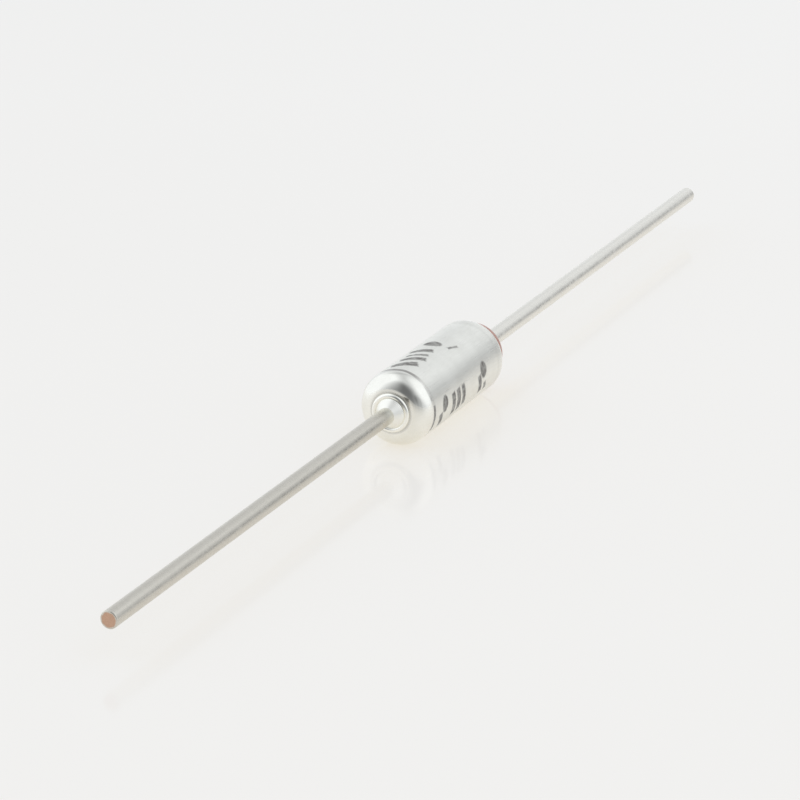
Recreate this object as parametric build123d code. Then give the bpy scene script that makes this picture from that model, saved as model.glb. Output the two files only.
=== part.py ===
"""Axial thermal fuse: a plated can that holds a meltable pellet, two springs and a floating contact.

Millimetres. The fuse lies along X with the origin at the middle of its can and Z up. The closed end,
with the riveted case lead, points to -X, and the resin-sealed end, with the isolated lead, points to +X.
The contact is shown closed, as the fuse is before it has tripped.
"""
import math
import os

from build123d import *

# Can: drawn brass cup, closed at -X and rolled in at +X
case_diameter = 4.0
wall_thickness = 0.3
end_thickness = 0.35
shoulder_bend_radius = 0.6
rim_bend_radius = 0.2

# Leads: tinned copper wire, measured from the can's ends to the cut tips
lead_diameter = 0.9
case_lead_length = 29.5
isolated_lead_length = 32.0
tip_chamfer = 0.06

# Collar, spigot and rivet head of the case lead: the collar is a round ring with a cone up to the wire
collar_diameter = 2.1
collar_height = 0.19
collar_edge_radius = 0.14
collar_edge_sweep = 135
collar_cone_rise = 0.43
spigot_diameter = 1.3
rivet_head_diameter = 1.9
rivet_head_thickness = 0.25

# Pellet and the disk on it
pellet_length = 2.2
pellet_chamfer = 0.25
pellet_clearance = 0.1
pellet_disk_thickness = 0.2

# Main spring, which holds the contact closed while the pellet is solid
main_spring_length = 2.4
main_spring_mean_diameter = 2.2
main_spring_wire = 0.3
main_spring_turns = 4

# Floating contact: a backing disk and a star cupped over it, whose petals brush the can's wall
contact_disk_thickness = 0.2
contact_disk_clearance = 0.03
star_thickness = 0.15
star_bend_radius = 0.15
petal_length = 0.3
petal_clearance = 0.02
petal_count = 8
petal_gap = 0.3
star_hub_diameter = 2.0

# Head of the isolated lead, which the contact meets, and the upset anchor that the resin grips
head_diameter = 1.5
head_thickness = 0.3
anchor_diameter = 1.4
anchor_length = 1.28

# Trip spring, a cone that opens from the bushing towards the contact
trip_spring_length = 1.2
trip_spring_wire = 0.2
trip_spring_turns = 3
trip_spring_flare = 0.2
trip_spring_clearance = 0.1

# Ceramic bushing with a nose that backs the lead's head
bushing_length = 2.55
bushing_clearance = 0.04
bushing_chamfer = 0.15
nose_diameter = 1.4
lead_clearance = 0.02

# Sealing resin: fills the rolled rim, laps over its lip in a round-edged bead and climbs up the lead
bead_lap = 0.1
bead_height = 0.9
bead_edge_radius = 0.45
meniscus_radius = 0.05
bond_gap = 0.01

# Small gap of a pressed or riveted seat
seat_gap = 0.01

# Radii
case_radius = case_diameter / 2
bore_radius = case_radius - wall_thickness
lead_radius = lead_diameter / 2
shoulder_radius = shoulder_bend_radius + wall_thickness
rim_radius = rim_bend_radius + wall_thickness
lip_radius = case_radius - rim_radius
spigot_radius = spigot_diameter / 2
anchor_radius = anchor_diameter / 2
petal_radius = bore_radius - petal_clearance
petal_bend_centre_radius = petal_radius - star_thickness - star_bend_radius

# Places along X, stacked from the closed end to the rolled rim
stack_lengths = [
    end_thickness,
    rivet_head_thickness,
    pellet_length,
    pellet_disk_thickness,
    main_spring_length,
    contact_disk_thickness,
    star_thickness,
    trip_spring_length,
    bushing_length,
    rim_radius,
]
case_length = sum(stack_lengths)
stack_places = [sum(stack_lengths[:count]) - case_length / 2 for count in range(len(stack_lengths) + 1)]
(closed_x, floor_x, pellet_x, pellet_disk_x, main_spring_x, contact_disk_x,
 star_x, contact_x, bushing_x, curl_x, rim_x) = stack_places
anchor_end_x = curl_x + anchor_length


def turned(*edges):
    """Solid of revolution about X of the closed outline of these edges, drawn as x and radius."""
    return revolve(make_face(edges), Axis.X)


def turned_polygon(*points):
    """Solid of revolution about X of a closed straight-sided outline of (x, radius) points."""
    return turned(Polyline(*points, close=True))


def disk(start_x, thickness, radius):
    """Plain round disk across X."""
    end_x = start_x + thickness
    return turned_polygon((start_x, 0), (end_x, 0), (end_x, radius), (start_x, radius))


def coil(start_x, length, start_radius, end_radius, wire, turns):
    """Spring of round wire along X, ground flat at both ends, with the given mean radii at its ends."""
    slope = math.degrees(math.atan2(end_radius - start_radius, length))
    path = Helix(length / turns, length, start_radius, (start_x, 0, 0), (1, 0, 0), cone_angle=slope)
    section = Plane(path @ 0, z_dir=path % 0) * Circle(wire / 2)
    ground_space = disk(start_x, length, max(start_radius, end_radius) + wire)
    return sweep(section, path, is_frenet=True) & ground_space


def make_case():
    """Cup with a round shoulder, a rivet hole in its closed end and a quarter-round rim rolled in."""
    hole_radius = spigot_radius + seat_gap
    shoulder_x = closed_x + shoulder_radius
    inner_bend_x = floor_x + shoulder_bend_radius
    return turned(
        Line((closed_x, hole_radius), (closed_x, case_radius - shoulder_radius)),
        CenterArc((shoulder_x, case_radius - shoulder_radius), shoulder_radius, 90, 90),
        Line((shoulder_x, case_radius), (curl_x, case_radius)),
        CenterArc((curl_x, lip_radius), rim_radius, 0, 90),
        Line((rim_x, lip_radius), (rim_x - wall_thickness, lip_radius)),
        CenterArc((curl_x, lip_radius), rim_bend_radius, 0, 90),
        Line((curl_x, bore_radius), (inner_bend_x, bore_radius)),
        CenterArc((inner_bend_x, bore_radius - shoulder_bend_radius), shoulder_bend_radius, 90, 90),
        Line((floor_x, bore_radius - shoulder_bend_radius), (floor_x, hole_radius)),
        Line((floor_x, hole_radius), (closed_x, hole_radius)),
    )


def make_case_lead():
    """Wire with a ringed collar outside the can, a spigot through its end and a rivet head inside."""
    tip_x = closed_x - case_lead_length
    collar_radius = collar_diameter / 2
    ring_x = closed_x - collar_height + collar_edge_radius
    ring_radius = collar_radius - collar_edge_radius
    foot_angle = math.radians(90 + collar_edge_sweep)
    foot_x = ring_x + collar_edge_radius * math.cos(foot_angle)
    foot_radius = ring_radius + collar_edge_radius * math.sin(foot_angle)
    head_radius = rivet_head_diameter / 2
    return turned(
        Polyline(
            (foot_x, foot_radius),
            (foot_x - collar_cone_rise, lead_radius),
            (tip_x + tip_chamfer, lead_radius),
            (tip_x, lead_radius - tip_chamfer),
            (tip_x, 0),
            (pellet_x, 0),
            (pellet_x, head_radius),
            (floor_x, head_radius),
            (floor_x, spigot_radius),
            (closed_x, spigot_radius),
            (closed_x, collar_radius),
            (ring_x, collar_radius),
        ),
        CenterArc((ring_x, ring_radius), collar_edge_radius, 90, collar_edge_sweep),
    )


def make_thermal_pellet():
    """Pressed pellet with chamfered edges, which lies against the rivet head."""
    pellet_radius = bore_radius - pellet_clearance
    face_radius = pellet_radius - pellet_chamfer
    return turned_polygon(
        (pellet_x, 0),
        (pellet_x, face_radius),
        (pellet_x + pellet_chamfer, pellet_radius),
        (pellet_disk_x - pellet_chamfer, pellet_radius),
        (pellet_disk_x, face_radius),
        (pellet_disk_x, 0),
    )


def make_pellet_disk():
    """Disk that spreads the main spring's push over the pellet."""
    return disk(pellet_disk_x, pellet_disk_thickness, bore_radius - pellet_clearance)


def make_main_spring():
    """Straight spring between the pellet's disk and the contact's disk."""
    mean_radius = main_spring_mean_diameter / 2
    return coil(
        main_spring_x, main_spring_length, mean_radius, mean_radius, main_spring_wire, main_spring_turns
    )


def make_contact_disk():
    """Disk that carries the main spring's push to the middle of the star."""
    return disk(contact_disk_x, contact_disk_thickness, petal_bend_centre_radius - contact_disk_clearance)


def make_star_contact():
    """Thin cup with petals bent back along the wall, cut apart by gaps that run in to the hub."""
    bend_outer_radius = star_bend_radius + star_thickness
    bend_x = star_x - star_bend_radius
    petal_end_x = bend_x - petal_length
    petal_inner_radius = petal_radius - star_thickness
    cup = turned(
        Line((contact_x, 0), (contact_x, petal_bend_centre_radius)),
        CenterArc((bend_x, petal_bend_centre_radius), bend_outer_radius, 0, 90),
        Line((bend_x, petal_radius), (petal_end_x, petal_radius)),
        Line((petal_end_x, petal_radius), (petal_end_x, petal_inner_radius)),
        Line((petal_end_x, petal_inner_radius), (bend_x, petal_inner_radius)),
        CenterArc((bend_x, petal_bend_centre_radius), star_bend_radius, 0, 90),
        Line((star_x, petal_bend_centre_radius), (star_x, 0)),
        Line((star_x, 0), (contact_x, 0)),
    )
    hub_radius = star_hub_diameter / 2
    cup_depth = contact_x - petal_end_x
    gap_cutter = Box(cup_depth, petal_gap, bore_radius, align=(Align.MIN, Align.CENTER, Align.MIN))
    for number in range(petal_count):
        turn = Rot(number * 360 / petal_count, 0, 0)
        cup -= turn * Pos(petal_end_x, 0, hub_radius) * gap_cutter
    return cup


def make_isolated_lead():
    """Wire with an upset head that the contact rests on and an anchor that bears on the bushing."""
    tip_x = rim_x + isolated_lead_length
    head_radius = head_diameter / 2
    head_back_x = contact_x + head_thickness
    return turned_polygon(
        (contact_x, 0),
        (contact_x, head_radius),
        (head_back_x, head_radius),
        (head_back_x, lead_radius),
        (curl_x, lead_radius),
        (curl_x, anchor_radius),
        (anchor_end_x, anchor_radius),
        (anchor_end_x, lead_radius),
        (tip_x - tip_chamfer, lead_radius),
        (tip_x, lead_radius - tip_chamfer),
        (tip_x, 0),
    )


def make_trip_spring():
    """Cone of wire around the bushing's nose, wide end on the contact."""
    narrow_radius = nose_diameter / 2 + trip_spring_clearance + trip_spring_wire / 2
    wide_radius = narrow_radius + trip_spring_flare
    return coil(
        contact_x, trip_spring_length, wide_radius, narrow_radius, trip_spring_wire, trip_spring_turns
    )


def make_ceramic_bushing():
    """Bored plug with a nose, held in the can by the rolled rim."""
    outer_radius = bore_radius - bushing_clearance
    nose_radius = nose_diameter / 2
    hole_radius = lead_radius + lead_clearance
    nose_x = contact_x + head_thickness
    return turned_polygon(
        (nose_x, hole_radius),
        (nose_x, nose_radius),
        (bushing_x, nose_radius),
        (bushing_x, outer_radius - bushing_chamfer),
        (bushing_x + bushing_chamfer, outer_radius),
        (curl_x - bushing_chamfer, outer_radius),
        (curl_x, outer_radius - bushing_chamfer),
        (curl_x, hole_radius),
    )


def make_sealing_resin():
    """Resin that fills the curl over the bushing, with a bead over the lip and a meniscus up the lead."""
    anchor_hole_radius = anchor_radius + bond_gap
    anchor_hole_x = anchor_end_x + bond_gap
    wire_hole_radius = lead_radius + bond_gap
    curl_fill_radius = rim_bend_radius - bond_gap
    curl_fill_x = curl_x + curl_fill_radius
    mouth_radius = lip_radius - bond_gap
    bead_x = rim_x + bond_gap
    bead_radius = lip_radius + bead_lap
    bead_top_x = rim_x + bead_height
    bead_edge_x = bead_top_x - bead_edge_radius
    bead_crown_radius = bead_radius - bead_edge_radius
    meniscus_x = bead_top_x + meniscus_radius
    foot_radius = wire_hole_radius + meniscus_radius
    return turned(
        Line((curl_x, anchor_hole_radius), (curl_x, lip_radius + curl_fill_radius)),
        CenterArc((curl_x, lip_radius), curl_fill_radius, 0, 90),
        Polyline(
            (curl_fill_x, lip_radius),
            (curl_fill_x, mouth_radius),
            (bead_x, mouth_radius),
            (bead_x, bead_radius),
            (bead_edge_x, bead_radius),
        ),
        CenterArc((bead_edge_x, bead_crown_radius), bead_edge_radius, 0, 90),
        Line((bead_top_x, bead_crown_radius), (bead_top_x, foot_radius)),
        CenterArc((meniscus_x, foot_radius), meniscus_radius, 180, 90),
        Polyline(
            (meniscus_x, wire_hole_radius),
            (anchor_hole_x, wire_hole_radius),
            (anchor_hole_x, anchor_hole_radius),
            (curl_x, anchor_hole_radius),
        ),
    )


os.makedirs("parts", exist_ok=True)
nodes = {
    "case": make_case,
    "case_lead": make_case_lead,
    "thermal_pellet": make_thermal_pellet,
    "pellet_disk": make_pellet_disk,
    "main_spring": make_main_spring,
    "contact_disk": make_contact_disk,
    "star_contact": make_star_contact,
    "isolated_lead": make_isolated_lead,
    "trip_spring": make_trip_spring,
    "ceramic_bushing": make_ceramic_bushing,
    "sealing_resin": make_sealing_resin,
}
for name, make in nodes.items():
    export_step(make(), f"parts/{name}.step")
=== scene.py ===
"""Looks of an axial thermal fuse that lies on a pale, softly glossy floor in studio light.

The can, both leads and the resin are turned meshes with the solids' own sizes. The springs and the pellet
are free copies of their imported meshes. Sizes are named in millimetres, and meshes and places are made in
metres.
"""
import math

import bpy
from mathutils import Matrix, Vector


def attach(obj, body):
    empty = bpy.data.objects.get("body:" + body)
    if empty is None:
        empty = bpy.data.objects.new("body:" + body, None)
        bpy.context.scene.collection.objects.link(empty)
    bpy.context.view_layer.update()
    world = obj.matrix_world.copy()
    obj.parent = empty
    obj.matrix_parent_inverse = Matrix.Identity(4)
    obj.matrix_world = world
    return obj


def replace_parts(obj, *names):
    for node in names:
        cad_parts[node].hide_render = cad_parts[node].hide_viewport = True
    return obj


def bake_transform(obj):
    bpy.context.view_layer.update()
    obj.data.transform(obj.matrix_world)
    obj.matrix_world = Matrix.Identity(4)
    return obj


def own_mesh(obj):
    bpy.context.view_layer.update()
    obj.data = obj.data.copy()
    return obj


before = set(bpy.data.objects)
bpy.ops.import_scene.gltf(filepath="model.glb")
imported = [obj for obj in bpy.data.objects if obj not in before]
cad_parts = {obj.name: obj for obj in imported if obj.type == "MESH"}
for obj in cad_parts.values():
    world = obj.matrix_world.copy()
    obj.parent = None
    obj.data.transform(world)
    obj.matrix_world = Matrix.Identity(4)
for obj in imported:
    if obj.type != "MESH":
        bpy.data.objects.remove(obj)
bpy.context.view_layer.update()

mm = 0.001
mm_per_metre = 1000.0
segments_round = 144
arc_steps = 16
sharp_angle = math.radians(40)

# Can
case_radius = 2.0
case_length = 10.0
wall_thickness = 0.3
end_thickness = 0.35
shoulder_bend_radius = 0.6
rim_bend_radius = 0.2
bore_radius = case_radius - wall_thickness
shoulder_radius = shoulder_bend_radius + wall_thickness
rim_radius = rim_bend_radius + wall_thickness
lip_radius = case_radius - rim_radius
closed_x = -case_length / 2
floor_x = closed_x + end_thickness
shoulder_x = closed_x + shoulder_radius
inner_bend_x = floor_x + shoulder_bend_radius
rim_x = case_length / 2
curl_x = rim_x - rim_radius

# Wire of both leads
lead_radius = 0.45
case_lead_length = 29.5
isolated_lead_length = 32.0
tip_round = 0.06
near_tip_x = closed_x - case_lead_length
far_tip_x = rim_x + isolated_lead_length

# Collar, spigot and rivet head of the case lead
collar_radius = 1.05
collar_height = 0.19
collar_edge_radius = 0.14
collar_edge_sweep = 135
collar_cone_rise = 0.43
ring_x = closed_x - collar_height + collar_edge_radius
ring_radius = collar_radius - collar_edge_radius
spigot_radius = 0.65
seat_gap = 0.01
rivet_hole_radius = spigot_radius + seat_gap
rivet_head_radius = 0.95
rivet_head_thickness = 0.25

# Inner pieces, stacked from the rivet head to the bushing
pellet_length = 2.2
pellet_disk_thickness = 0.2
main_spring_length = 2.4
contact_disk_thickness = 0.2
star_thickness = 0.15
pellet_x = floor_x + rivet_head_thickness
main_spring_x = pellet_x + pellet_length + pellet_disk_thickness
contact_disk_x = main_spring_x + main_spring_length
contact_x = contact_disk_x + contact_disk_thickness + star_thickness

# Head and anchor of the isolated lead
head_radius = 0.75
head_thickness = 0.3
head_back_x = contact_x + head_thickness
anchor_radius = 0.7
anchor_length = 1.28
anchor_end_x = curl_x + anchor_length

# Resin
bond_gap = 0.01
bead_lap = 0.1
bead_height = 0.9
bead_edge_radius = 0.45
meniscus_radius = 0.05
bead_radius = lip_radius + bead_lap
bead_top_x = rim_x + bead_height
bead_edge_x = bead_top_x - bead_edge_radius
curl_fill_radius = rim_bend_radius - bond_gap
mouth_radius = lip_radius - bond_gap
wire_hole_radius = lead_radius + bond_gap
anchor_hole_radius = anchor_radius + bond_gap

# Camera, from the fit of the can's outline and the leads to the photo
camera_azimuth = -64.93
camera_elevation = 20.03
camera_distance = 199.9
camera_lens = 172.5
camera_near_limit = 10.0
camera_far_limit = 10000.0
aim_right = -1.658
aim_up = -0.907


def direction(azimuth, elevation):
    """Unit vector for an azimuth, where 0 points along -Y and 90 along +X, and an elevation."""
    turn = math.radians(azimuth)
    rise = math.radians(elevation)
    return Vector((math.sin(turn) * math.cos(rise), -math.cos(turn) * math.cos(rise), math.sin(rise)))


def arc(centre_x, centre_r, radius, start, end):
    """Points of an arc in the x and radius plane, angles in degrees from +x."""
    points = []
    for step in range(arc_steps + 1):
        angle = math.radians(start + (end - start) * step / arc_steps)
        points.append((centre_x + radius * math.cos(angle), centre_r + radius * math.sin(angle)))
    return points


def turned(name, outline, closed):
    """Mesh object turned about X from (x, radius) points. An open outline starts and ends on the axis."""
    rings = []
    vertices = []
    for x, radius in outline:
        count = segments_round if radius > 0 else 1
        rings.append(range(len(vertices), len(vertices) + count))
        for number in range(count):
            angle = 2 * math.pi * number / segments_round
            vertices.append((x * mm, radius * mm * math.cos(angle), radius * mm * math.sin(angle)))
    pairs = list(zip(rings, rings[1:]))
    if closed:
        pairs.append((rings[-1], rings[0]))
    faces = []
    for first, second in pairs:
        for number in range(segments_round):
            after = (number + 1) % segments_round
            corners = [
                first[number % len(first)],
                second[number % len(second)],
                second[after % len(second)],
                first[after % len(first)],
            ]
            faces.append(list(dict.fromkeys(corners)))
    mesh = bpy.data.meshes.new(name)
    mesh.from_pydata(vertices, [], faces)
    mesh.update()
    mesh.shade_smooth()
    mesh.set_sharp_from_angle(angle=sharp_angle)
    piece = bpy.data.objects.new(name, mesh)
    bpy.context.scene.collection.objects.link(piece)
    return piece


def copied(node, name):
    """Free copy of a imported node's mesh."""
    piece = bpy.data.objects.new(name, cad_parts[node].data.copy())
    bpy.context.scene.collection.objects.link(piece)
    return piece


class Graph:
    """Node tree that is filled by calls. Each call makes nodes and gives their result."""

    def __init__(self, tree):
        self.tree = tree
        tree.nodes.clear()

    def add(self, kind, inputs, **settings):
        """One node, with its inputs linked where a socket is given and set where a value is."""
        made = self.tree.nodes.new(kind)
        for key, value in settings.items():
            setattr(made, key, value)
        for key, value in inputs.items():
            if isinstance(value, bpy.types.NodeSocket):
                self.tree.links.new(value, made.inputs[key])
            else:
                made.inputs[key].default_value = value
        return made

    def calc(self, operation, *values):
        return self.add("ShaderNodeMath", dict(enumerate(values)), operation=operation).outputs[0]

    def vector(self, operation, *values):
        made = self.add("ShaderNodeVectorMath", dict(enumerate(values)), operation=operation)
        return made.outputs["Value" if operation in ("DOT_PRODUCT", "LENGTH") else "Vector"]

    def split(self, vector):
        return self.add("ShaderNodeSeparateXYZ", {0: vector}).outputs

    def join(self, x, y, z):
        return self.add("ShaderNodeCombineXYZ", {0: x, 1: y, 2: z}).outputs[0]

    def place(self):
        """Object coordinates in millimetres."""
        spot = self.add("ShaderNodeTexCoord", {}).outputs["Object"]
        return self.vector("MULTIPLY", spot, (mm_per_metre,) * 3)

    def radius(self, y, z):
        """Distance from the X axis."""
        return self.vector("LENGTH", self.join(0.0, y, z))

    def ramp(self, value, low, high, start=0.0, end=1.0):
        """Number that goes smoothly from start to end as value goes from low to high."""
        inputs = {"Value": value, "From Min": low, "From Max": high, "To Min": start, "To Max": end}
        return self.add("ShaderNodeMapRange", inputs, interpolation_type="SMOOTHSTEP").outputs[0]

    def stripe(self, value, middle, reach, core):
        """Share that is 1 within core of the middle and fades to 0 at its reach."""
        gap = self.calc("ABSOLUTE", self.calc("SUBTRACT", value, middle))
        return self.ramp(gap, reach, core)

    def swing(self, share, low, high):
        """Number that goes evenly from low to high as share goes from 0 to 1."""
        return self.calc("MULTIPLY_ADD", share, high - low, low)

    def noise(self, vector, scale, detail=3.0, roughness=0.55):
        inputs = {"Vector": vector, "Scale": scale, "Detail": detail, "Roughness": roughness}
        return self.add("ShaderNodeTexNoise", inputs).outputs["Fac"]

    def streaks(self, spot, stretch, detail=3.0, roughness=0.55):
        """Noise that runs out into lines along the axis with the smallest stretch."""
        return self.noise(self.vector("MULTIPLY", spot, stretch), 1.0, detail, roughness)

    def cells(self, vector, scale):
        """Level of each cell of a cell pattern."""
        inputs = {"Vector": vector, "Scale": scale}
        return self.split(self.add("ShaderNodeTexVoronoi", inputs).outputs["Color"])[0]

    def mix(self, share, first, second):
        """Colour between two colours. The node repeats its sockets' names, so they go by number."""
        inputs = {0: share, 6: first, 7: second}
        return self.add("ShaderNodeMix", inputs, data_type="RGBA").outputs[2]

    def blend(self, share, first, second):
        """Number between two numbers, with sockets by number as in a mix."""
        inputs = {0: share, 2: first, 3: second}
        return self.add("ShaderNodeMix", inputs, data_type="FLOAT").outputs[0]

    def mean(self, first, second):
        return self.blend(0.5, first, second)

    def bump(self, height, strength, depth):
        inputs = {"Height": height, "Strength": strength, "Distance": depth * mm}
        return self.add("ShaderNodeBump", inputs).outputs[0]

    def surface(self, **inputs):
        """Shader and output, with underscores for the spaces in the sockets' names."""
        sockets = {key.replace("_", " "): value for key, value in inputs.items()}
        shader = self.add("ShaderNodeBsdfPrincipled", sockets)
        self.add("ShaderNodeOutputMaterial", {"Surface": shader.outputs[0]})


def new_graph(name):
    """New material and the graph of its nodes."""
    material = bpy.data.materials.new(name)
    material.use_nodes = True
    return material, Graph(material.node_tree)


def colour(red, green, blue):
    """Opaque colour."""
    return (red, green, blue, 1.0)


# Colours
silver = colour(0.948, 0.934, 0.868)
worn_silver = colour(0.838, 0.823, 0.76)
# Grey of the painted shade in the collar's seam, the painted dark reflection along the shoulder's edge and
# the dark line near the rim
painted_shade_grey = colour(0.38, 0.36, 0.335)
ink_colour = colour(0.15, 0.135, 0.12)
dull_tin_dark = colour(0.617, 0.583, 0.515)
dull_tin_light = colour(0.722, 0.685, 0.608)
bright_tin_dark = colour(0.815, 0.784, 0.716)
bright_tin_light = colour(0.928, 0.897, 0.824)
bare_copper = colour(0.6, 0.39, 0.28)
resin_dark = colour(0.47, 0.22, 0.165)
resin_light = colour(0.6, 0.33, 0.26)
ceramic_dark = colour(0.84, 0.82, 0.77)
ceramic_light = colour(0.93, 0.91, 0.87)
ceramic_speck = colour(0.4635, 0.45, 0.4365)
wax_dark = colour(0.8, 0.73, 0.54)
wax_light = colour(0.9, 0.85, 0.69)
wax_shade = colour(0.74, 0.66, 0.46)
brass_dark = colour(0.62, 0.47, 0.22)
brass_light = colour(0.84, 0.7, 0.42)
steel_dark = colour(0.44, 0.44, 0.45)
steel_light = colour(0.6, 0.58, 0.54)
sheet_dark = colour(0.8, 0.78, 0.73)
sheet_light = colour(0.93, 0.92, 0.89)
floor_colour = colour(0.85, 0.85, 0.84)
floor_shade_colour = colour(0.16, 0.23, 0.33)
floor_glow_colour = colour(0.76, 0.69, 0.578)

# Roughness: one value, or the two ends of its range
satin_roughness = (0.17, 0.47)
polish_roughness = (0.045, 0.095)
seam_roughness = 0.35
ink_roughness = 0.5
tin_roughness = (0.16, 0.36)
spangle_roughness = 0.1
cone_roughness = 0.34
ring_roughness = 0.1
resin_roughness = (0.1, 0.32)
ceramic_roughness = (0.55, 0.75)
wax_roughness = (0.45, 0.6)
brass_roughness = (0.14, 0.42)
steel_roughness = (0.2, 0.45)
sheet_roughness = (0.16, 0.36)
rubbed_roughness = 0.12

# Ink marks on the can: bars by (x, arc, length, width, tilt) and ovals by (x, arc, half length, half height).
# Arc runs round the can from its top, and a bar's length lies along the arc before its tilt
ink_bars = [
    (-3.05, -0.15, 1.4, 0.52, 30),
    (-2.12, -0.1, 1.35, 0.4, 24),
    (-1.5, -0.14, 1.15, 0.24, 22),
    (-0.8, -0.24, 1.25, 0.42, 22),
    (0.78, 0.86, 0.78, 0.13, 72),
    (-3.93, 3.55, 1.5, 0.2, 4),
    (-2.95, 3.95, 0.9, 0.36, 22),
    (-1.5, 3.5, 1.35, 0.4, 12),
    (-0.9, 3.45, 1.3, 0.42, 12),
    (-0.3, 3.4, 1.25, 0.38, 12),
    (1.8, 3.5, 1.1, 0.36, 18),
    (2.5, 3.8, 0.5, 0.28, 20),
]
ink_ovals = [
    (0.42, -0.15, 0.36, 0.5),
    (-2.65, 3.12, 0.32, 0.46),
    (2.2, 2.82, 0.36, 0.45),
]
ink_edge = 0.07
ink_ragged = 0.13
ink_worn_share = 0.62
ink_full_share = 0.95


def ink_field(graph, x, arc_place, spot):
    """Share of ink on the can's wall."""
    flat = graph.join(arc_place, x, 0.0)
    nearest = None
    for bar_x, bar_arc, length, width, tilt in ink_bars:
        turn = (0.0, 0.0, math.radians(tilt))
        inputs = {"Vector": flat, "Location": (bar_arc, bar_x, 0.0), "Rotation": turn}
        local = graph.add("ShaderNodeMapping", inputs, vector_type="TEXTURE").outputs[0]
        size = graph.vector("SUBTRACT", graph.vector("ABSOLUTE", local), (length / 2, width / 2, 0.0))
        along, across, _ = graph.split(size)
        distance = graph.calc("MAXIMUM", along, across)
        nearest = distance if nearest is None else graph.calc("MINIMUM", nearest, distance)
    for oval_x, oval_arc, half_length, half_height in ink_ovals:
        scale = (half_height, half_length, 1.0)
        inputs = {"Vector": flat, "Location": (oval_arc, oval_x, 0.0), "Scale": scale}
        local = graph.add("ShaderNodeMapping", inputs, vector_type="TEXTURE").outputs[0]
        mean_radius = (half_length + half_height) / 2
        distance = graph.calc("MULTIPLY_ADD", graph.vector("LENGTH", local), mean_radius, -mean_radius)
        nearest = graph.calc("MINIMUM", nearest, distance)
    ragged = graph.swing(graph.noise(spot, scale=9.0, detail=4.0), -ink_ragged / 2, ink_ragged / 2)
    ink = graph.ramp(graph.calc("ADD", nearest, ragged), ink_edge, -ink_edge)
    wear = graph.noise(spot, scale=3.5)
    worn = graph.ramp(wear, low=0.35, high=0.65, start=ink_worn_share, end=ink_full_share)
    return graph.calc("MULTIPLY", ink, worn)


# Finish of the can: places and reach of its polish, lines, painted seam shade, painted dark reflection along
# the shoulder's edge and dark rim line, and how strong they are
case_line_stretch = (0.35, 14.0, 14.0)
case_fine_line_stretch = (1.2, 45.0, 45.0)
case_fine_line_share = 0.3
polish_end_x = -4.02
polish_fade = 0.12
polished_relief_share = 0.07
rim_polish_start_x = 4.46
rim_polish_end_x = 4.6
rim_polish_share = 0.6
# The polish line is a painted dark reflection along the shoulder's edge, stronger towards the top
polish_line_reach = 0.19
polish_line_core = 0.05
polish_line_wobble = 0.15
polish_line_low_z = 1.5
polish_line_high_z = 1.9
polish_line_low_share = 0.22
# A dark line round the wall near the rim
rim_line_x = 4.12
rim_line_reach = 0.2
rim_line_core = 0.02
rim_line_share = 0.09
# The seam's darkening is painted shade on the can's end round the collar
seam_reach = 0.17
seam_core = 0.03
seam_shade_share = 0.3


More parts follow.
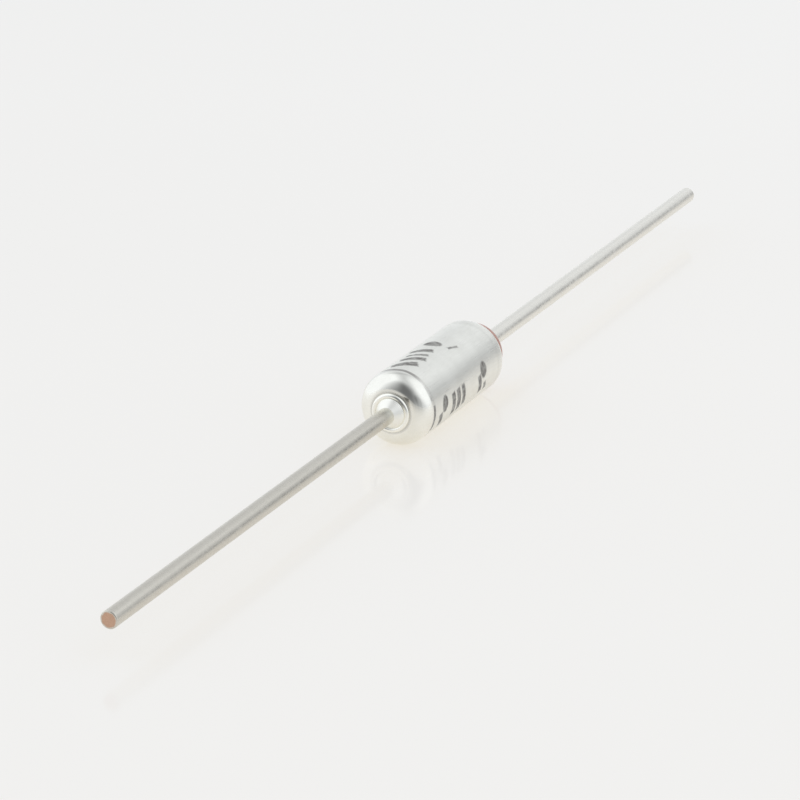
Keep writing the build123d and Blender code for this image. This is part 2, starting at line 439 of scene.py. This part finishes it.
def case_material():
    """Silver plating: satin wall with drawing lines, polished shoulder and rim, dark ink marks, painted shade
    in the collar's seam, a painted dark reflection along the shoulder's edge and a dark line near the rim.
    """
    material, graph = new_graph("plated_case")
    spot = graph.place()
    x, y, z = graph.split(spot)
    turn = graph.calc("ARCTAN2", graph.calc("MULTIPLY", y, -1.0), z)
    arc_place = graph.calc("MULTIPLY", turn, case_radius)
    ink = ink_field(graph, x, arc_place, spot)
    lines = graph.streaks(spot, case_line_stretch, detail=4.0, roughness=0.6)
    fine_lines = graph.streaks(spot, case_fine_line_stretch, detail=2.0)
    clouds = graph.noise(spot, scale=0.9, detail=4.0)
    shoulder_polish = graph.ramp(x, polish_end_x, polish_end_x - polish_fade)
    rim_polish = graph.ramp(x, rim_polish_start_x, rim_polish_end_x, end=rim_polish_share)
    polish = graph.calc("MAXIMUM", shoulder_polish, rim_polish)

    # Painted shade: the can's end darkens towards grey in the seam round the collar
    seam = graph.ramp(graph.radius(y, z), collar_radius + seam_reach, collar_radius + seam_core)
    seam_painted_shade = graph.calc("MULTIPLY", seam, seam_shade_share)
    # Painted reflection: a dark band along the edge of the shoulder's polish, stronger towards the top
    wobble = graph.swing(graph.noise(spot, scale=0.5, detail=2.0), -polish_line_wobble, polish_line_wobble)
    line_x = graph.calc("ADD", wobble, polish_end_x)
    polish_line = graph.stripe(x, line_x, polish_line_reach, polish_line_core)
    top_share = graph.ramp(z, polish_line_low_z, polish_line_high_z, start=polish_line_low_share)
    painted_edge_reflection = graph.calc("MULTIPLY", polish_line, top_share)
    # A dark line round the wall near the rim
    rim_line = graph.stripe(x, rim_line_x, rim_line_reach, rim_line_core)
    rim_dark_line = graph.calc("MULTIPLY", rim_line, rim_line_share)
    # Painted shade and painted reflection: the seam's shade and the shoulder edge's dark band, with the rim's
    # dark line, darken the plating towards grey
    painted_shade_and_rim_line = graph.calc("MAXIMUM", seam_painted_shade, graph.calc("MAXIMUM", painted_edge_reflection, rim_dark_line))

    rubbed = graph.ramp(graph.mean(clouds, fine_lines), low=0.3, high=0.7)
    plating = graph.mix(rubbed, worn_silver, silver)
    shaded_plating = graph.mix(painted_shade_and_rim_line, plating, painted_shade_grey)
    tone = graph.mix(ink, shaded_plating, ink_colour)
    metal = graph.calc("SUBTRACT", 1.0, ink)
    satin = graph.swing(lines, *satin_roughness)
    bright = graph.swing(clouds, *polish_roughness)
    metal_roughness = graph.blend(seam, graph.blend(polish, satin, bright), seam_roughness)
    roughness = graph.blend(ink, metal_roughness, ink_roughness)
    grain = graph.blend(case_fine_line_share, lines, fine_lines)
    relief = graph.calc("MULTIPLY", grain, graph.swing(polish, 1.0, polished_relief_share))
    normal = graph.bump(relief, strength=0.9, depth=0.012)
    graph.surface(Base_Color=tone, Metallic=metal, Roughness=roughness, Normal=normal)
    return material


# Finish of the leads: bare copper at the cut tips, the polished collar, and the change between the leads
lead_line_stretch = (0.3, 16.0, 16.0)
bare_depth = 0.03
bare_full_depth = 0.005
bare_radius = 0.4
bare_full_radius = 0.33
bare_smear = 0.08
root_x = closed_x - collar_height - collar_cone_rise
root_fade_start = 0.9
root_fade_end = 0.1
collar_limit_x = 0.1
collar_relief_share = 0.05
cone_satin_width = 0.2
lead_change_x = 1.0


def lead_material():
    """Tinned wire: mottled tin with drawing lines, a bright collar and bare copper at the cut tips."""
    material, graph = new_graph("tinned_wire")
    spot = graph.place()
    x, y, z = graph.split(spot)
    radius = graph.radius(y, z)
    near_tip = graph.ramp(x, near_tip_x + bare_depth, near_tip_x + bare_full_depth)
    far_tip = graph.ramp(x, far_tip_x - bare_depth, far_tip_x - bare_full_depth)
    smear = graph.swing(graph.noise(spot, scale=7.0, detail=4.0), -bare_smear, bare_smear)
    core = graph.ramp(graph.calc("ADD", radius, smear), bare_radius, bare_full_radius)
    bare = graph.calc("MULTIPLY", graph.calc("MAXIMUM", near_tip, far_tip), core)
    root = graph.ramp(x, root_x - root_fade_start, root_x - root_fade_end)
    collar = graph.calc("MULTIPLY", root, graph.ramp(x, collar_limit_x, 0.0))
    far = graph.ramp(x, -lead_change_x, lead_change_x)

    lines = graph.streaks(spot, lead_line_stretch)
    mottle = graph.noise(spot, scale=3.2, detail=4.0, roughness=0.6)
    spangle = graph.cells(spot, scale=6.0)
    dull_tin = graph.mix(mottle, dull_tin_dark, dull_tin_light)
    bright_tin = graph.mix(mottle, bright_tin_dark, bright_tin_light)
    wire_tone = graph.mix(far, dull_tin, bright_tin)
    tone = graph.mix(bare, graph.mix(collar, wire_tone, silver), bare_copper)
    mottled = graph.swing(mottle, *tin_roughness)
    dull = graph.calc("ADD", mottled, graph.calc("MULTIPLY", spangle, spangle_roughness))
    cone_radius = lead_radius + cone_satin_width
    polished = graph.ramp(radius, cone_radius, ring_radius, start=cone_roughness, end=ring_roughness)
    roughness = graph.blend(collar, dull, polished)
    relief = graph.calc("MULTIPLY", graph.mean(lines, mottle), graph.swing(collar, 1.0, collar_relief_share))
    normal = graph.bump(relief, strength=0.4, depth=0.02)
    graph.surface(Base_Color=tone, Metallic=1.0, Roughness=roughness, Normal=normal)
    return material


# Finish of the resin and of the inner pieces
pit_relief_share = 0.3
speck_share = 0.4
wax_shade_share = 0.35
rolling_stretch = (20.0, 1.0, 20.0)
rub_start_radius = 1.5
rub_full_radius = 1.67


def resin_material():
    """Reddish cast resin with slow colour drift and small pits."""
    material, graph = new_graph("red_resin")
    spot = graph.place()
    drift = graph.noise(spot, scale=2.2, detail=4.0)
    pits = graph.noise(spot, scale=14.0)
    tone = graph.mix(drift, resin_dark, resin_light)
    roughness = graph.swing(pits, *resin_roughness)
    height = graph.calc("ADD", drift, graph.calc("MULTIPLY", pits, pit_relief_share))
    normal = graph.bump(height, strength=0.5, depth=0.05)
    graph.surface(Base_Color=tone, Roughness=roughness, Normal=normal, Coat_Weight=0.5, Coat_Roughness=0.1)
    return material


def ceramic_material():
    """Unglazed white ceramic with fine grain and grey specks."""
    material, graph = new_graph("white_ceramic")
    spot = graph.place()
    grain = graph.noise(spot, scale=18.0, detail=5.0, roughness=0.65)
    specks = graph.ramp(graph.noise(spot, scale=9.0, detail=2.0), low=0.7, high=0.78, end=speck_share)
    tone = graph.mix(specks, graph.mix(grain, ceramic_dark, ceramic_light), ceramic_speck)
    roughness = graph.swing(grain, *ceramic_roughness)
    normal = graph.bump(grain, strength=0.4, depth=0.02)
    graph.surface(Base_Color=tone, Roughness=roughness, Normal=normal)
    return material


def pellet_material():
    """Pressed waxy powder: packed grains with a faint sheen."""
    material, graph = new_graph("pellet_wax")
    spot = graph.place()
    grains = graph.cells(spot, scale=9.0)
    clouds = graph.noise(spot, scale=1.8, detail=4.0)
    shade = graph.calc("MULTIPLY", clouds, wax_shade_share)
    tone = graph.mix(shade, graph.mix(grains, wax_dark, wax_light), wax_shade)
    roughness = graph.swing(grains, *wax_roughness)
    normal = graph.bump(graph.calc("ADD", grains, clouds), strength=0.4, depth=0.03)
    graph.surface(Base_Color=tone, Roughness=roughness, Normal=normal)
    return material


def disk_material():
    """Bare stamped brass with turning rings and light tarnish."""
    material, graph = new_graph("bare_disk")
    spot = graph.place()
    _, y, z = graph.split(spot)
    rings = graph.noise(graph.join(0.0, 0.0, graph.radius(y, z)), scale=24.0)
    patina = graph.noise(spot, scale=2.4, detail=5.0)
    tone = graph.mix(patina, brass_dark, brass_light)
    roughness = graph.swing(graph.mean(rings, patina), *brass_roughness)
    normal = graph.bump(rings, strength=0.35, depth=0.01)
    graph.surface(Base_Color=tone, Metallic=1.0, Roughness=roughness, Normal=normal)
    return material


def spring_material():
    """Drawn spring wire: grey steel with faint straw tint and die marks."""
    material, graph = new_graph("spring_wire")
    spot = graph.place()
    tint = graph.noise(spot, scale=1.6, detail=4.0)
    marks = graph.noise(spot, scale=22.0, detail=4.0, roughness=0.65)
    tone = graph.mix(tint, steel_dark, steel_light)
    roughness = graph.swing(marks, *steel_roughness)
    normal = graph.bump(marks, strength=0.3, depth=0.01)
    graph.surface(Base_Color=tone, Metallic=1.0, Roughness=roughness, Normal=normal)
    return material


def contact_material():
    """Silver-plated sheet with rubbed petals and rolling lines."""
    material, graph = new_graph("silvered_contact")
    spot = graph.place()
    _, y, z = graph.split(spot)
    rolling = graph.streaks(spot, rolling_stretch)
    clouds = graph.noise(spot, scale=2.0, detail=4.0)
    rubbed = graph.ramp(graph.radius(y, z), rub_start_radius, rub_full_radius)
    tone = graph.mix(clouds, sheet_dark, sheet_light)
    roughness = graph.blend(rubbed, graph.swing(rolling, *sheet_roughness), rubbed_roughness)
    normal = graph.bump(rolling, strength=0.25, depth=0.01)
    graph.surface(Base_Color=tone, Metallic=1.0, Roughness=roughness, Normal=normal)
    return material


def dress(piece, material):
    """Puts one material on the whole piece."""
    piece.data.materials.clear()
    piece.data.materials.append(material)


# Outlines of the turned pieces, as (x, radius) points
case_outline = [
    (closed_x, rivet_hole_radius),
    *arc(shoulder_x, case_radius - shoulder_radius, shoulder_radius, 180, 90),
    *arc(curl_x, lip_radius, rim_radius, 90, 0),
    *arc(curl_x, lip_radius, rim_bend_radius, 0, 90),
    *arc(inner_bend_x, bore_radius - shoulder_bend_radius, shoulder_bend_radius, 90, 180),
    (floor_x, rivet_hole_radius),
]
ring_arc = arc(ring_x, ring_radius, collar_edge_radius, 90 + collar_edge_sweep, 90)
cone_x = ring_arc[0][0] - collar_cone_rise
case_lead_outline = [
    (near_tip_x, 0.0),
    *arc(near_tip_x + tip_round, lead_radius - tip_round, tip_round, 180, 90),
    (cone_x, lead_radius),
    *ring_arc,
    (closed_x, collar_radius),
    (closed_x, spigot_radius),
    (floor_x, spigot_radius),
    (floor_x, rivet_head_radius),
    (pellet_x, rivet_head_radius),
    (pellet_x, 0.0),
]
isolated_lead_outline = [
    (contact_x, 0.0),
    (contact_x, head_radius),
    (head_back_x, head_radius),
    (head_back_x, lead_radius),
    (curl_x, lead_radius),
    (curl_x, anchor_radius),
    (anchor_end_x, anchor_radius),
    (anchor_end_x, lead_radius),
    *arc(far_tip_x - tip_round, lead_radius - tip_round, tip_round, 90, 0),
    (far_tip_x, 0.0),
]
resin_outline = [
    (curl_x, anchor_hole_radius),
    *arc(curl_x, lip_radius, curl_fill_radius, 90, 0),
    (curl_x + curl_fill_radius, mouth_radius),
    (rim_x + bond_gap, mouth_radius),
    (rim_x + bond_gap, bead_radius),
    *arc(bead_edge_x, bead_radius - bead_edge_radius, bead_edge_radius, 90, 0),
    *arc(bead_top_x + meniscus_radius, wire_hole_radius + meniscus_radius, meniscus_radius, 180, 270),
    (anchor_end_x + bond_gap, wire_hole_radius),
    (anchor_end_x + bond_gap, anchor_hole_radius),
]

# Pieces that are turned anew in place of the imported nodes
tin = lead_material()
for node, outline, closed, material, slot in (
    ("case", case_outline, True, case_material(), "plated_case"),
    ("case_lead", case_lead_outline, False, tin, "tinned_wire"),
    ("isolated_lead", isolated_lead_outline, False, tin, "tinned_wire"),
    ("sealing_resin", resin_outline, True, resin_material(), "red_resin"),
):
    piece = turned(f"{node}_turned", outline, closed)
    dress(piece, material)
    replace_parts(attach(piece, "fuse_body"), node)

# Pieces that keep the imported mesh
brass = disk_material()
dress(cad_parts["ceramic_bushing"], ceramic_material())
dress(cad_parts["pellet_disk"], brass)
dress(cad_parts["contact_disk"], brass)
dress(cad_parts["star_contact"], contact_material())

# Springs and the pellet as free copies of their imported meshes; in the fuse the springs stretch and the
# pellet melts away as it trips
steel = spring_material()
main_spring = copied("main_spring", "main_spring_coil")
dress(main_spring, steel)
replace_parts(main_spring, "main_spring")
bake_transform(main_spring)
trip_spring = copied("trip_spring", "trip_spring_coil")
dress(trip_spring, steel)
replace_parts(trip_spring, "trip_spring")
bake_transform(trip_spring)
pellet = copied("thermal_pellet", "thermal_pellet_wax")
dress(pellet, pellet_material())
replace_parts(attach(pellet, "fuse_body"), "thermal_pellet")
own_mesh(pellet)

# Floor
floor_reach = 2000.0 * mm
floor_z = -case_radius * mm
floor_corners = [
    (-floor_reach, -floor_reach, floor_z),
    (floor_reach, -floor_reach, floor_z),
    (floor_reach, floor_reach, floor_z),
    (-floor_reach, floor_reach, floor_z),
]
floor_mesh = bpy.data.meshes.new("floor")
floor_mesh.from_pydata(floor_corners, [], [(0, 1, 2, 3)])
floor = bpy.data.objects.new("floor", floor_mesh)
bpy.context.scene.collection.objects.link(floor)
floor_material, floor_graph = new_graph("pale_floor")
ray = floor_graph.add("ShaderNodeLightPath", {}).outputs
mirrored = floor_graph.calc("MAXIMUM", ray["Is Glossy Ray"], ray["Is Transmission Ray"])
shown = floor_graph.calc("MAXIMUM", ray["Is Camera Ray"], mirrored)
floor_graph.surface(
    Base_Color=floor_graph.mix(shown, floor_colour, floor_shade_colour),
    Roughness=0.6,
    Specular_IOR_Level=0.0,
    Coat_Weight=1.0,
    Coat_IOR=1.25,
    Coat_Roughness=0.1,
    Emission_Color=floor_glow_colour,
    Emission_Strength=shown,
)
dress(floor, floor_material)

# Studio light as fields of the sky: azimuth and elevation of a field's middle, its inner and outer half angle
# in degrees, and its change of level
sky_level = 0.695
sky_lowest = 0.15
sky_highest = 1.1
sky_tint = (0.965, 1.0, 1.045)
sky_fields = [
    (-163, 25, 23, 65, 0.63),
    (23, 36, 20, 54, 0.41),
    (-93, 22, 5, 51, -0.52),
    (-45, 11, 4, 22, -0.23),
    (56, 12, 9, 18, -0.26),
    (58, 3, 4, 10, -0.22),
    (117, 19, 16, 39, 0.31),
    (128, 34, 7, 36, -0.24),
]
world = bpy.data.worlds.new("studio")
bpy.context.scene.world = world
world.use_nodes = True
sky = Graph(world.node_tree)
gaze = sky.add("ShaderNodeTexCoord", {}).outputs["Generated"]
level = sky_level
for azimuth, elevation, inner, outer, change in sky_fields:
    facing = sky.vector("DOT_PRODUCT", gaze, tuple(direction(azimuth, elevation)))
    outer_cosine = math.cos(math.radians(outer))
    inner_cosine = math.cos(math.radians(inner))
    level = sky.calc("ADD", sky.ramp(facing, outer_cosine, inner_cosine, end=change), level)
level = sky.calc("MINIMUM", sky.calc("MAXIMUM", level, sky_lowest), sky_highest)
light = sky.vector("MULTIPLY", sky_tint, level)
background = sky.add("ShaderNodeBackground", {"Color": light, "Strength": 1.0})
sky.add("ShaderNodeOutputWorld", {"Surface": background.outputs[0]})

# Camera
back = direction(camera_azimuth, camera_elevation)
right = Vector((math.cos(math.radians(camera_azimuth)), math.sin(math.radians(camera_azimuth)), 0))
aim = (right * aim_right + back.cross(right) * aim_up) * mm
camera_data = bpy.data.cameras.new("camera")
camera_data.lens = camera_lens
camera_data.clip_start = camera_near_limit * mm
camera_data.clip_end = camera_far_limit * mm
camera = bpy.data.objects.new("camera", camera_data)
camera.location = aim + back * (camera_distance * mm)
camera.rotation_mode = "QUATERNION"
camera.rotation_quaternion = (-back).to_track_quat("-Z", "Y")
bpy.context.scene.collection.objects.link(camera)
bpy.context.scene.camera = camera
bpy.context.scene.view_settings.view_transform = "Standard"
